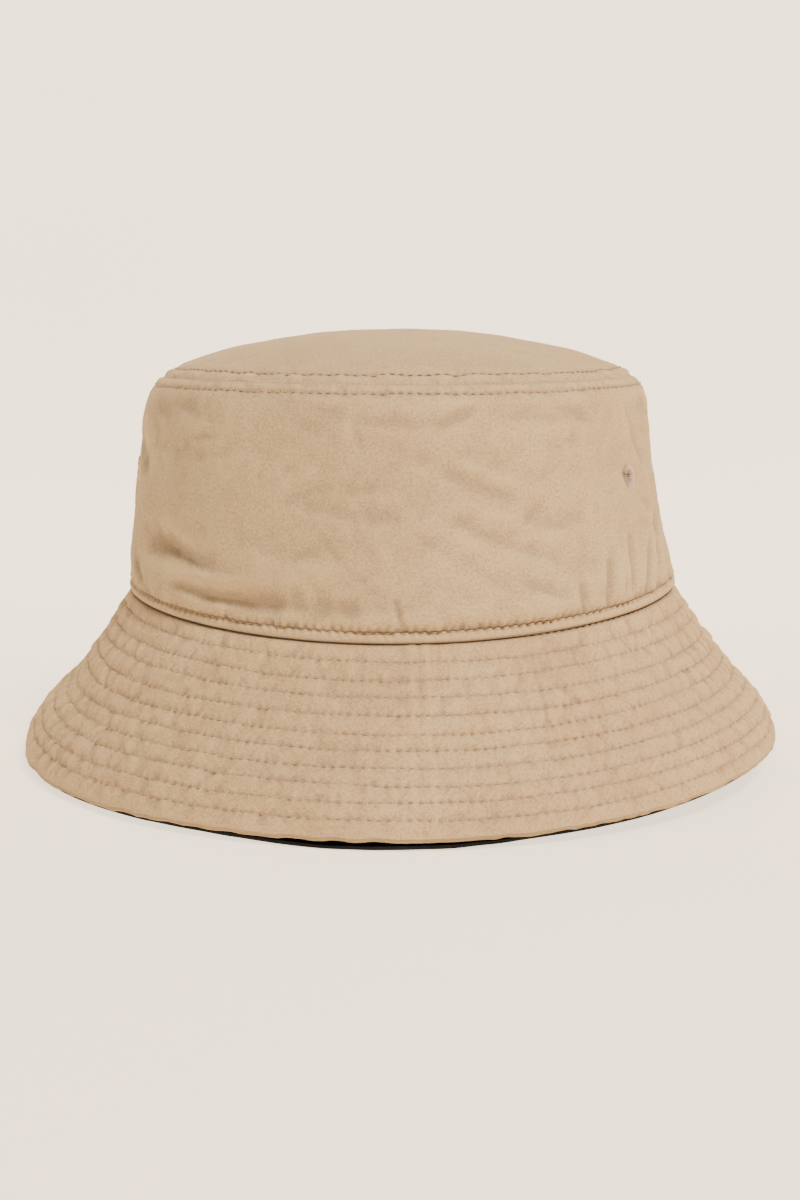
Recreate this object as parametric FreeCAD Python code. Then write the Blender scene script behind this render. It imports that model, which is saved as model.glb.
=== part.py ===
"""Reversible cotton bucket hat, standing on the edge of its brim.

The hat is two complete twill hats, one inside the other, joined at the brim's edge. Each has an oval
tip and a wall of two panels with seams at the sides, and a brim of two halves. A stiff
interlining lies between the two brims, ten turns of topstitching hold the brim together, and
four sewn eyelets go through both walls.

Frame: millimetres, +Z up, X across the side seams, -Y the front. The origin is under the centre of the
hat, on the surface that the brim stands on.
"""

import FreeCAD, Part
import math
import os

from FreeCAD import Vector

OUT = "parts"

# Head opening and overall shape. Every level of the hat is an oval, its half width along X and its half
# length along Y.
SEAM_HALF_WIDTH = 90.0  # at the seam of crown and brim, outside
SEAM_HALF_LENGTH = 97.5
SEAM_HEIGHT = 53.0
EDGE_HALF_WIDTH = 125.0  # at the edge of the brim
EDGE_HALF_LENGTH = 130.0
BRIM_BULGE = 0.8  # how far the brim stands outside a straight cone, half way down
CROWN_LENGTHENING = SEAM_HALF_LENGTH - SEAM_HALF_WIDTH
WALL_TOP = 123.0  # height of the seam of wall and tip
TIP_APEX = 139.0

# Outside of the wall: height, half width.
WALL_PROFILE = (
    (SEAM_HEIGHT, SEAM_HALF_WIDTH),
    (66.0, 88.8),
    (84.0, 86.2),
    (104.0, 84.4),
    (116.0, 82.6),
    (WALL_TOP, 78.5),
)
# Outside of the tip, from its middle to its rim: half width, height below the apex.
TIP_PROFILE = ((0.0, 0.0), (20.0, 0.8), (42.4, 3.6), (57.8, 6.8), (67.0, 10.0), (73.9, 13.2))

# Cloth. Offsets are measured level, inwards from the outside of the hat.
TWILL = 0.6
LINING_START = 2.0
LINING_END = 2.5
FLANGE_UPPER = (0.7, 1.2)  # seam allowances of the brim, turned up inside the wall
FLANGE_UNDER = (1.3, 1.8)
FLANGE_HEIGHT = 6.5
UPPER_BRIM = (0.0, 0.75)
INTERLINING = (0.8, 1.7)
UNDER_BRIM = (1.75, 2.5)
CLEARANCE = 0.1  # between pieces that meet edge to edge

# Edge of the brim: the under cloth rolls out under the upper cloth.
HEM_ROLL_HEIGHT = 1.2
HEM_ROLL_PROUD = 0.5
INTERLINING_FOOT = 3.0

# Stitching
THREAD = 0.32  # across
THREAD_LIFT = 0.3  # height of a thread's middle over the cloth
BRIM_TURNS = 10
FIRST_TURN = 4.6  # distances down the slope of the brim from the seam
TURN_PITCH = 5.5
TIP_STITCH_HALF_WIDTH = 73.5
WALL_STITCH_HEIGHT = 120.5
BASE_STITCH_HEIGHT = 56.2
LINING_RIM_HEIGHT = 120.0
LINING_TIP_STITCH_HALF_WIDTH = 71.0
LINING_WALL_STITCH_HEIGHT = 115.0

# Seams, in degrees about Z from the front, positive towards +X. The hat stands turned a little to its
# right.
WALL_SEAM_TURNS = (76.0, -104.0)
BRIM_SEAM_TURN = 3.0

# Eyelets, a pair about each side seam
EYELET_SPREAD = 19.0
EYELET_TURNS = {
    "eyelet_right_front": WALL_SEAM_TURNS[0] - EYELET_SPREAD,
    "eyelet_right_rear": WALL_SEAM_TURNS[0] + EYELET_SPREAD,
    "eyelet_left_front": WALL_SEAM_TURNS[1] + EYELET_SPREAD,
    "eyelet_left_rear": WALL_SEAM_TURNS[1] - EYELET_SPREAD,
}
EYELET_HEIGHT = 93.0
EYELET_CLOTH_HOLE = 2.0  # radii
EYELET_BARREL = 1.85
EYELET_BORE = 1.3
EYELET_ROLL = 3.1
EYELET_ROLL_HEIGHT = 0.75

BIG = 400.0  # larger than the hat, for cutting tools


def between(points, at):
    """The value at a place along points, each (place, value), by straight lines."""
    points = sorted(points)
    for (x0, y0), (x1, y1) in zip(points, points[1:]):
        if at <= x1:
            break
    return y0 + (y1 - y0) * (at - x0) / (x1 - x0)


def oval(half_width, half_length, height):
    """A closed level wire, starting at its rear end."""
    edge = Part.Ellipse(
        Vector(0, half_length, height), Vector(-half_width, 0, height), Vector(0, 0, height)
    ).toShape()
    return Part.Wire([edge])


def wall_oval(height, inset):
    half_width = between(WALL_PROFILE, height) - inset
    return half_width, half_width + CROWN_LENGTHENING, height


def brim_oval(height, inset):
    share = 1 - height / SEAM_HEIGHT
    bulge = BRIM_BULGE * 4 * share * (1 - share)
    half_width = SEAM_HALF_WIDTH + (EDGE_HALF_WIDTH - SEAM_HALF_WIDTH) * share + bulge - inset
    half_length = SEAM_HALF_LENGTH + (EDGE_HALF_LENGTH - SEAM_HALF_LENGTH) * share + bulge - inset
    return half_width, half_length, height


def slab(low, high):
    return Part.makeBox(BIG, BIG, high - low, Vector(-BIG / 2, -BIG / 2, low))


def filled(level_oval, heights, inset):
    """The solid inside one cloth surface, straight between levels."""
    return Part.makeLoft([oval(*level_oval(h, inset)) for h in heights], True, True)


def layer(level_oval, heights, insets, low, high):
    """A ring of cloth between two insets, cut level at low and high."""
    outer, inner = (filled(level_oval, heights, i) for i in insets)
    return outer.common(slab(low, high)).cut(inner)


WALL_HEIGHTS = [height for height, _ in WALL_PROFILE]
BRIM_HEIGHTS = [SEAM_HEIGHT * share for share in (0.0, 0.25, 0.5, 0.75, 1.0)]


def wall_layer(insets, low, high):
    return layer(wall_oval, WALL_HEIGHTS, insets, low, high)


def brim_layer(insets, low, high):
    return layer(brim_oval, BRIM_HEIGHTS, insets, low, high)


def halves(shape, turn):
    """The two sides of a vertical plane through the middle. The first is in front when turn is 0."""
    front = Part.makeBox(BIG, BIG, BIG, Vector(-BIG / 2, -BIG - CLEARANCE / 2, -BIG / 2))
    rear = Part.makeBox(BIG, BIG, BIG, Vector(-BIG / 2, CLEARANCE / 2, -BIG / 2))
    made = []
    for side in (front, rear):
        side.rotate(Vector(0, 0, 0), Vector(0, 0, 1), turn)
        made.append(shape.common(side))
    return made


def dome(rim_half_width, rim_height, apex, drop):
    """An oval domed panel, one cloth thick, that ends level on its rim."""
    outside = [Vector(x, 0, apex - z) for x, z in TIP_PROFILE if x < rim_half_width - 2]
    inside = [point - Vector(0, 0, drop) for point in outside]
    outside.append(Vector(rim_half_width, 0, rim_height))
    inside.append(Vector(rim_half_width - drop, 0, rim_height))
    curves = []
    for points in (outside, inside):
        curve = Part.BSplineCurve()
        curve.interpolate(points)
        curves.append(curve.toShape())
    rim = Part.makeLine(outside[-1], inside[-1])
    axis = Part.makeLine(inside[0], outside[0])
    section = Part.Face(Part.Wire(Part.sortEdges([curves[0], rim, curves[1], axis])[0]))
    round_panel = section.revolve(Vector(0, 0, 0), Vector(0, 0, 1), 360)
    stretch = FreeCAD.Matrix()
    stretch.scale(1, (rim_half_width + CROWN_LENGTHENING) / rim_half_width, 1)
    return Part.makeSolid(round_panel.transformGeometry(stretch).Shells[0])


def tip_height(half_width, apex):
    return apex - between(TIP_PROFILE, half_width)


def thread_ring(half_width, half_length, height):
    """One closed row of thread, square in section, with its middle on a level oval."""
    half = THREAD / 2
    outside = oval(half_width + half, half_length + half, height - half)
    inside = oval(half_width - half, half_length - half, height - half)
    up = Vector(0, 0, THREAD)
    return Part.Face(outside).extrude(up).cut(Part.Face(inside).extrude(up))


def wall_thread(height, inset):
    return thread_ring(*wall_oval(height, inset))


def brim_slope():
    """Slope length of the brim at the side, and its run and fall for each millimetre of slope."""
    run = EDGE_HALF_WIDTH - SEAM_HALF_WIDTH
    length = math.hypot(run, SEAM_HEIGHT)
    return length, run / length, SEAM_HEIGHT / length


def brim_thread(turn, inset, lift):
    """A turn of brim stitching on the surface at inset, its thread lifted square off the cloth."""
    _, run, fall = brim_slope()
    height = SEAM_HEIGHT - (FIRST_TURN + turn * TURN_PITCH) * fall
    half_width, half_length, _ = brim_oval(height, inset)
    return thread_ring(half_width + lift * fall, half_length + lift * fall, height + lift * run)


def eyelet_place(turn):
    """The point on the outside of the wall and the outward direction of an eyelet."""
    half_width, half_length, height = wall_oval(EYELET_HEIGHT, 0)
    angle = math.radians(turn)
    point = Vector(half_width * math.sin(angle), -half_length * math.cos(angle), height)
    level = Vector(half_length * math.sin(angle), -half_width * math.cos(angle), 0).normalize()
    step = 5.0
    lean = (wall_oval(height - step, 0)[0] - wall_oval(height + step, 0)[0]) / (2 * step)
    return point, (level + Vector(0, 0, lean)).normalize()


def eyelet_hole(turn):
    point, outward = eyelet_place(turn)
    reach = 10.0
    return Part.makeCylinder(EYELET_CLOTH_HOLE, 2 * reach, point - outward * reach, outward)


def eyelet(turn):
    """A buttonholed ring: a barrel through both walls with a rolled rim on each side."""
    middle = (EYELET_BORE + EYELET_ROLL) / 2
    outside_seat = CLEARANCE
    inside_seat = -LINING_END - CLEARANCE
    corners = [
        Vector(EYELET_BORE, 0, outside_seat + CLEARANCE),
        Vector(middle, 0, outside_seat + EYELET_ROLL_HEIGHT),
        Vector(EYELET_ROLL, 0, outside_seat),
        Vector(EYELET_BARREL, 0, outside_seat),
        Vector(EYELET_BARREL, 0, inside_seat),
        Vector(EYELET_ROLL, 0, inside_seat),
        Vector(middle, 0, inside_seat - EYELET_ROLL_HEIGHT),
        Vector(EYELET_BORE, 0, inside_seat - CLEARANCE),
    ]
    edges = [
        Part.Arc(corners[0], corners[1], corners[2]).toShape(),
        Part.makeLine(corners[2], corners[3]),
        Part.makeLine(corners[3], corners[4]),
        Part.makeLine(corners[4], corners[5]),
        Part.Arc(corners[5], corners[6], corners[7]).toShape(),
        Part.makeLine(corners[7], corners[0]),
    ]
    ring = Part.Face(Part.Wire(edges)).revolve(Vector(0, 0, 0), Vector(0, 0, 1), 360)
    point, outward = eyelet_place(turn)
    ring.Placement = FreeCAD.Placement(point, FreeCAD.Rotation(Vector(0, 0, 1), outward))
    return ring


def crown():
    """The outer and lining walls and tips."""
    outer = wall_layer((0, TWILL), SEAM_HEIGHT + CLEARANCE, WALL_TOP - CLEARANCE)
    lining = wall_layer((LINING_START, LINING_END), SEAM_HEIGHT + CLEARANCE, LINING_RIM_HEIGHT - CLEARANCE)
    for turn in EYELET_TURNS.values():
        outer = outer.cut(eyelet_hole(turn))
        lining = lining.cut(eyelet_hole(turn))
    front, rear = halves(outer, WALL_SEAM_TURNS[0] - 90)
    lining_front, lining_rear = halves(lining, WALL_SEAM_TURNS[0] - 90)
    rim = wall_oval(WALL_TOP, 0)[0]
    lining_rim = wall_oval(LINING_RIM_HEIGHT, LINING_START)[0]
    return {
        "crown_tip": dome(rim, WALL_TOP, TIP_APEX, TWILL),
        "crown_panel_front": front,
        "crown_panel_rear": rear,
        "lining_tip": dome(lining_rim, LINING_RIM_HEIGHT, TIP_APEX - LINING_END, LINING_END - LINING_START),
        "lining_panel_front": lining_front,
        "lining_panel_rear": lining_rear,
    }


def brim():
    """The brim's two cloths, each with a seam allowance turned up inside the wall, and the interlining."""
    top = SEAM_HEIGHT - CLEARANCE
    flange_top = SEAM_HEIGHT + FLANGE_HEIGHT
    upper = brim_layer(UPPER_BRIM, HEM_ROLL_HEIGHT + CLEARANCE, SEAM_HEIGHT)
    upper = upper.cut(wall_layer((-BRIM_BULGE, FLANGE_UPPER[0]), top, SEAM_HEIGHT + 1))
    upper = upper.fuse(wall_layer(FLANGE_UPPER, SEAM_HEIGHT, flange_top))
    under = brim_layer(UNDER_BRIM, 0, SEAM_HEIGHT)
    under = under.fuse(wall_layer(FLANGE_UNDER, SEAM_HEIGHT, flange_top))
    roll = brim_layer((-HEM_ROLL_PROUD, UNDER_BRIM[1]), 0, HEM_ROLL_HEIGHT)
    under = under.fuse(roll)
    upper_right, upper_left = halves(upper.removeSplitter(), 90 + BRIM_SEAM_TURN)
    under_right, under_left = halves(under.removeSplitter(), 90 + BRIM_SEAM_TURN)
    return {
        "brim_upper_left": upper_left,
        "brim_upper_right": upper_right,
        "brim_interlining": brim_layer(INTERLINING, INTERLINING_FOOT, SEAM_HEIGHT - 1),
        "brim_under_left": under_left,
        "brim_under_right": under_right,
    }


def stitching():
    """Every row of thread. Needle thread lies outside, and bobbin thread inside."""
    width = TIP_STITCH_HALF_WIDTH
    height = tip_height(width, TIP_APEX) + 2 * THREAD_LIFT
    tip_thread = thread_ring(width, width + CROWN_LENGTHENING, height)
    width = LINING_TIP_STITCH_HALF_WIDTH
    lining_apex = TIP_APEX - LINING_END - (LINING_END - LINING_START)
    height = tip_height(width, lining_apex) - 2 * THREAD_LIFT
    lining_thread = thread_ring(width, width + CROWN_LENGTHENING, height)
    made = {
        "tip_topstitch": tip_thread,
        "wall_topstitch": wall_thread(WALL_STITCH_HEIGHT, -THREAD_LIFT),
        "base_topstitch": wall_thread(BASE_STITCH_HEIGHT, -THREAD_LIFT),
        "base_bobbin_thread": wall_thread(BASE_STITCH_HEIGHT, LINING_END + THREAD_LIFT),
        "lining_tip_topstitch": lining_thread,
        "lining_wall_topstitch": wall_thread(LINING_WALL_STITCH_HEIGHT, LINING_END + THREAD_LIFT),
    }
    for turn in range(BRIM_TURNS):
        made[f"brim_topstitch_turn_{turn + 1:02d}"] = brim_thread(turn, UPPER_BRIM[0], THREAD_LIFT)
        made[f"brim_bobbin_turn_{turn + 1:02d}"] = brim_thread(turn, UNDER_BRIM[1], -THREAD_LIFT)
    return made


def main():
    os.makedirs(OUT, exist_ok=True)
    nodes = {**crown(), **brim(), **stitching()}
    for name, turn in EYELET_TURNS.items():
        nodes[name] = eyelet(turn)
    for name, shape in nodes.items():
        print(f"{name}: {len(shape.Solids)} solid(s), valid {shape.isValid()}, {shape.Volume:.1f} mm3")
        shape.exportStep(os.path.join(OUT, name + ".step"))


main()
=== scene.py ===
"""The look of the reversible bucket hat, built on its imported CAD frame.

Lengths in the shape code are millimetres, and meshes are scaled to metres when they are made. A turn is an
angle about +Z from the front (-Y), positive towards +X. The cloth is a set of panels. Each panel is a grid
over the turn and over a depth, which is measured along the cloth from one of its seams.
"""

import math

import bpy
import numpy as np
from mathutils import Matrix, Vector


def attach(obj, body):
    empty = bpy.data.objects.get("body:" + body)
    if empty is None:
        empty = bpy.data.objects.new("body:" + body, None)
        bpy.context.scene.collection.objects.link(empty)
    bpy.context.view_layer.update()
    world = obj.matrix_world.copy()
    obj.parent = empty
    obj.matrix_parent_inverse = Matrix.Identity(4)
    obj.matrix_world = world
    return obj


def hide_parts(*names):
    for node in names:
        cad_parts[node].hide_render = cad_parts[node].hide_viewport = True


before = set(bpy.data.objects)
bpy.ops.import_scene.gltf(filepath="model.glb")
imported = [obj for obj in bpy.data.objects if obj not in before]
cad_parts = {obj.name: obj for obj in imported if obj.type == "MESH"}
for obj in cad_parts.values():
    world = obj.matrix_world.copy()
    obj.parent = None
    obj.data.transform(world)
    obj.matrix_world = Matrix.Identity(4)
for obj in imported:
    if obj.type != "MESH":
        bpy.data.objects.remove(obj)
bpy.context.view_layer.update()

MM = 0.001
FULL = 2 * math.pi


# ---- camera

CAMERA_PLACE = Vector((-0.0005, -0.5593, 0.1343))
CAMERA_PITCH = math.radians(8.73)
CAMERA_ROLL = math.radians(0.44)
CAMERA_LENS = 50.0


def make_camera():
    data = bpy.data.cameras.new("camera")
    data.lens = CAMERA_LENS
    data.sensor_width = 36.0
    data.clip_start = 0.01
    data.clip_end = 50.0
    camera = bpy.data.objects.new("camera", data)
    bpy.context.scene.collection.objects.link(camera)
    turn = Matrix.Rotation(math.pi / 2 - CAMERA_PITCH, 4, "X") @ Matrix.Rotation(CAMERA_ROLL, 4, "Z")
    camera.matrix_world = Matrix.Translation(CAMERA_PLACE) @ turn
    bpy.context.scene.camera = camera


make_camera()


# ---- measures of the hat

LIFT = 4.3  # height of the middle of the brim's edge over the table

# Half widths, half lengths and heights of the seams and of the brim's edge
SEAM_WIDTH, SEAM_LENGTH, SEAM_HEIGHT = 90.0, 97.4, 49.0 + LIFT
EDGE_WIDTH, EDGE_LENGTH = 125.1, 129.4
TIP_SEAM_HEIGHT = 119.7 + LIFT

# Seams, by turn, and the thickness of the brim
WALL_SEAMS = (math.radians(76), math.radians(-104))
BRIM_SEAM = math.radians(3)
BRIM_SEAMS = (BRIM_SEAM, BRIM_SEAM + math.pi)
BRIM_THICKNESS = 2.5
LINING_GAP = 2.9

# Mean radii, by which a turn is measured in millimetres
WALL_RADIUS = 93.5
PATTERN_RADIUS = 93.0  # of the wall's flat pattern
LINING_RADIUS = 91.0
BRIM_RADIUS = 110.0
BRIM_EDGE_RADIUS = 118.0

# Half width of the crown by its share of height from the crown seam to the tip seam
WALL_SHARES = (0.0, 0.05, 0.14, 0.24, 0.34, 0.43, 0.52, 0.62, 0.71, 0.81, 0.90, 0.95, 1.0)
WALL_WIDTHS = (90.0, 89.7, 88.8, 87.5, 86.5, 86.0, 85.3, 84.5, 83.9, 83.2, 81.7, 80.0, 76.8)
LEAN_SHARES = (0.0, 0.15, 0.35, 0.6, 0.8, 1.0)
LEAN_SIDEWAYS = (0.3, -0.6, -1.7, -2.2, -2.0, -1.9)
CROWN_LENGTHENING = 7.3

# Half width of the tip by how far it lies below the top
TIP_TOP = 134.9
TIP_WIDTHS = (0.0, 20.0, 42.4, 57.8, 67.0, 73.4, 76.8)
TIP_DROPS = (0.0, 0.9, 3.6, 6.8, 10.0, 13.0, 15.2)

# Topstitching
STITCH = 2.75
THREAD = 0.24
SPIRAL_START = math.radians(23)
SPIRAL_TURNS = 10.55
SPIRAL_PITCH = 0.0905  # share of the brim's depth gained in a turn
SPIRAL_LAST = 0.89  # share after which the rows close up towards the edge
ROW_GAP = 5.5
BRIM_STITCHES = 112.0 * FULL / STITCH  # waves of the stitches in a turn
PUFF = 0.85
BAND_HEIGHT = 3.0  # the crown's base row over the crown seam
TIP_ROW = 3.8  # the tip's row from the tip seam
WALL_ROW = 2.6  # the wall's row from the tip seam

# Eyelets, at a pair of turns about each side seam
EYELET_TURNS = {
    "right_front": math.radians(57),
    "right_rear": math.radians(95),
    "left_front": math.radians(-85),
    "left_rear": math.radians(-123),
}
EYELET_HEIGHT = 39.2  # over the crown seam
EYELET_HOLE = 2.3
EYELET_RIM = 4.1

FOLD_START = 1000  # depths from here are degrees round the fold of the brim's edge


# ---- smooth curves and noise


def ease(low, high, x):
    t = np.clip((x - low) / (high - low), 0, 1)
    return t * t * (3 - 2 * t)


def bump(x, middle, width):
    return np.exp(-(((x - middle) / width) ** 2))


def through(x, places, values):
    """A smooth curve through named values, by cubic steps between them."""
    places = np.asarray(places, float)
    values = np.asarray(values, float)
    slopes = np.gradient(values, places)
    x = np.clip(x, places[0], places[-1])
    i = np.clip(np.searchsorted(places, x) - 1, 0, len(places) - 2)
    gap = places[i + 1] - places[i]
    t = (x - places[i]) / gap
    start = (1 + 2 * t) * (1 - t) ** 2 * values[i] + t * (1 - t) ** 2 * gap * slopes[i]
    end = t * t * (3 - 2 * t) * values[i + 1] + t * t * (t - 1) * gap * slopes[i + 1]
    return start + end


NOISE_ROWS = 97  # cells down the cloth before the noise repeats
NOISE_SHIFT = 40.0


def noise(seed, turn, y, around):
    """Smooth noise from -1 to 1 that closes round the hat in a whole number of cells."""
    table = np.random.default_rng(seed).uniform(-1, 1, (around, NOISE_ROWS))
    x = (turn / FULL % 1) * around
    y = np.asarray(y, float) + NOISE_SHIFT
    column, row = np.floor(x).astype(int), np.floor(y).astype(int)
    fx, fy = ease(0, 1, x - column), ease(0, 1, y - row)
    left, right = column % around, (column + 1) % around
    low, high = row % NOISE_ROWS, (row + 1) % NOISE_ROWS
    bottom = table[left, low] * (1 - fx) + table[right, low] * fx
    top = table[left, high] * (1 - fx) + table[right, high] * fx
    return bottom * (1 - fy) + top * fy


def creases(x, y, around, seed, count, low, high, length, width, depth):
    """Random short creases over a cloth from low to high. x closes after around millimetres."""
    dice = np.random.default_rng(seed)
    relief = np.zeros(np.shape(x))
    for _ in range(count):
        middle_x, middle_y = dice.uniform(0, around), dice.uniform(low, high)
        slant = dice.normal(0, 0.55)
        reach, wide = dice.uniform(*length), dice.uniform(*width)
        tall = dice.uniform(*depth) * dice.choice((-1.0, -1.0, 0.8))
        gap_x = (x - middle_x + around / 2) % around - around / 2
        gap_y = y - middle_y
        along = gap_x * math.cos(slant) + gap_y * math.sin(slant)
        across = -gap_x * math.sin(slant) + gap_y * math.cos(slant) + dice.uniform(-0.01, 0.01) * along**2
        steep = np.where(across * tall > 0, 0.65, 1.4) * wide
        relief += tall * np.exp(-((across / steep) ** 2) - (along / reach) ** 4)
    return relief


def turn_gap(turn, other):
    """The signed angle from other to turn, within half a turn."""
    return (turn - other + math.pi) % FULL - math.pi


# ---- smooth shape of the hat


def oval(turn, width, length, height):
    return np.stack([width * np.sin(turn), -length * np.cos(turn), height], -1)


def crown_seam(turn):
    height = SEAM_HEIGHT - 2.5 * np.cos(2 * turn) + 1.5 * np.sin(turn)
    return oval(turn, SEAM_WIDTH, SEAM_LENGTH, height)


def brim_edge(turn):
    front = ease(-0.6, 0.3, np.cos(turn))
    wave = -2.3 * np.sin(turn) + 5.8 * np.sin(2 * turn) - 2.9 * np.sin(3 * turn)
    height = LIFT - 1.8 * np.cos(2 * turn) + front * wave
    flat = 0.0041 * np.cos(3 * turn) + 0.0022 * np.sin(3 * turn) + 0.0013 * np.sin(2 * turn)
    swell = 1 - front * flat
    return oval(turn, EDGE_WIDTH * swell, EDGE_LENGTH * swell, height)


def tip_sag(turn):
    """The tip seam lies a little lower on the left."""
    return 1.6 * np.clip(-np.sin(turn), 0, 1) ** 2


def tip_seam_height(turn):
    return TIP_SEAM_HEIGHT - np.cos(2 * turn) - tip_sag(turn)


def wall_height(turn):
    return tip_seam_height(turn) - crown_seam(turn)[..., 2]


def wall_smooth(turn, rise):
    """The wall at a rise in millimetres over the crown seam."""
    share = rise / wall_height(turn)
    width = through(share, WALL_SHARES, WALL_WIDTHS)
    x = width * np.sin(turn) + np.interp(share, LEAN_SHARES, LEAN_SIDEWAYS)
    y = -(width + CROWN_LENGTHENING) * np.cos(turn)
    return np.stack([x, y, crown_seam(turn)[..., 2] + rise], -1)


def brim_length(turn):
    return np.linalg.norm(brim_edge(turn) - crown_seam(turn), axis=-1)


def brim_smooth(turn, depth):
    """The top of the brim at a depth in millimetres down from the crown seam."""
    seam, edge = crown_seam(turn), brim_edge(turn)
    share = (depth / brim_length(turn))[..., None]
    swell = 2.1 * bump(share, 0.80, 0.17) - 0.9 * bump(share, 0.17, 0.16)
    swell = swell - 2.0 * bump(share, 0.55, 0.3) * np.clip(-np.sin(turn), 0, 1)[..., None] ** 6
    outward = oval(turn, 0.82, 0.82, np.full_like(turn, 0.57))
    return seam + (edge - seam) * share + outward * swell * (1 - ease(0.93, 1.05, share))


def tip_smooth(turn, inset):
    """The tip at an inset in millimetres of half width from the tip seam."""
    rim = TIP_WIDTHS[-1]
    width = np.clip(rim - inset, 0, None)
    drop = through(width, TIP_WIDTHS, TIP_DROPS)
    share = width / rim
    height = TIP_TOP + LIFT - drop - np.cos(2 * turn) * share**2 - tip_sag(turn) * share**3
    length = width * (rim + CROWN_LENGTHENING) / rim
    return np.stack([width * np.sin(turn) + LEAN_SIDEWAYS[-1], -length * np.cos(turn), height], -1)


def unit(vectors):
    return vectors / (np.linalg.norm(vectors, axis=-1, keepdims=True) + 1e-12)


def outward_normal(smooth, turn, depth):
    """Unit normals of a smooth surface, on its outer side."""
    small = 0.004
    along = smooth(turn + small, depth) - smooth(turn - small, depth)
    across = smooth(turn, depth + 0.25) - smooth(turn, depth - 0.25)
    normal = unit(np.cross(along, across))
    outside = smooth(turn, depth) - np.array([0, 0, 20.0])
    flip = np.sign((normal * outside).sum(-1, keepdims=True))
    return normal * np.where(flip == 0, 1, flip)


def raised(smooth, turn, depth, relief):
    """A smooth surface moved out along its normals by a relief in millimetres."""
    return smooth(turn, depth) + outward_normal(smooth, turn, depth) * relief[..., None]


def from_seams(turn, seams, radius):
    """The distance in millimetres round the hat to the nearer of two seams."""
    return np.minimum(abs(turn_gap(turn, seams[0])), abs(turn_gap(turn, seams[1]))) * radius


# ---- brim: spiral of stitching, puffs and puckers


def spiral_share(turns):
    """How far down the brim the spiral of stitching is after some turns, as a share of the brim's depth."""
    straight = 0.002 + SPIRAL_PITCH * turns
    sag = 0.020 * np.sin(np.pi * np.clip(straight, 0, 1))
    angle = turns * FULL
    hand = 0.0035 * np.sin(1.27 * angle + 0.6) + 0.0028 * np.sin(2.61 * angle + 2.0)
    hand = hand + 0.0018 * np.sin(5.3 * angle) + 0.0012 * np.sin(17.3 * angle)
    hand = hand + 0.0009 * np.sin(29.0 * angle + 1.0)
    share = straight + sag + hand * ease(0.0, 0.4, turns)
    closing = SPIRAL_LAST + 0.065 * (1 - np.exp(-(share - SPIRAL_LAST) / 0.065))
    return np.where(share < SPIRAL_LAST, share, closing)


def rows_about(turn, share):
    """The shares of the rows above and below each place on the brim, and the number of its band."""
    first = (turn - SPIRAL_START) / FULL % 1
    above = np.full(share.shape, 0.0)
    below = np.full(share.shape, 1.0)
    band = np.zeros(share.shape, int)
    for number in range(int(SPIRAL_TURNS) + 1):
        row = spiral_share(first + number)
        sewn = first + number <= SPIRAL_TURNS
        over = sewn & (row <= share)
        above = np.where(over, np.maximum(above, row), above)
        band = band + over
        under = sewn & (row > share)
        below = np.where(under, np.minimum(below, row), below)
    return above, below, band


PUCKER_AROUND = 620.0  # millimetres round the brim over which the gathers are dealt
PUCKER_BANDS = 16


def puckers(turn, band, place, seed, spacing, slant):
    """Small gathers across a band of cloth between two rows. place is 0 at one row and 1 at the other."""
    count = int(PUCKER_AROUND / spacing)
    row = band % PUCKER_BANDS
    dice = np.random.default_rng(seed)
    gathered = np.zeros(turn.shape)
    shifts = dice.uniform(0, 1, PUCKER_BANDS)
    starts = (np.arange(count) + dice.uniform(-0.42, 0.42, count)) / count
    for layer in range(2):
        depths = dice.uniform(0.0, 1.0, (PUCKER_BANDS, count)) ** 1.5
        widths = dice.uniform(0.85, 2.0, (PUCKER_BANDS, count))
        leans = dice.uniform(-1, 1, (PUCKER_BANDS, count)) * slant
        where = (turn / FULL + shifts[row] + layer * 0.37 / count) % 1
        nearest = np.floor(where * count).astype(int)
        for step in (-1, 0, 1):
            pick = (nearest + step) % count
            middle = starts[pick] + 0.5 / count + leans[row, pick] * (place - 0.5) / PUCKER_AROUND
            gap = ((where - middle + 0.5) % 1 - 0.5) * PUCKER_AROUND
            width = widths[row, pick]
            gathered -= depths[row, pick] * (bump(gap, 0, width) - 0.35 * bump(gap, 0, 2.4 * width))
    return gathered / 1.5


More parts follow.
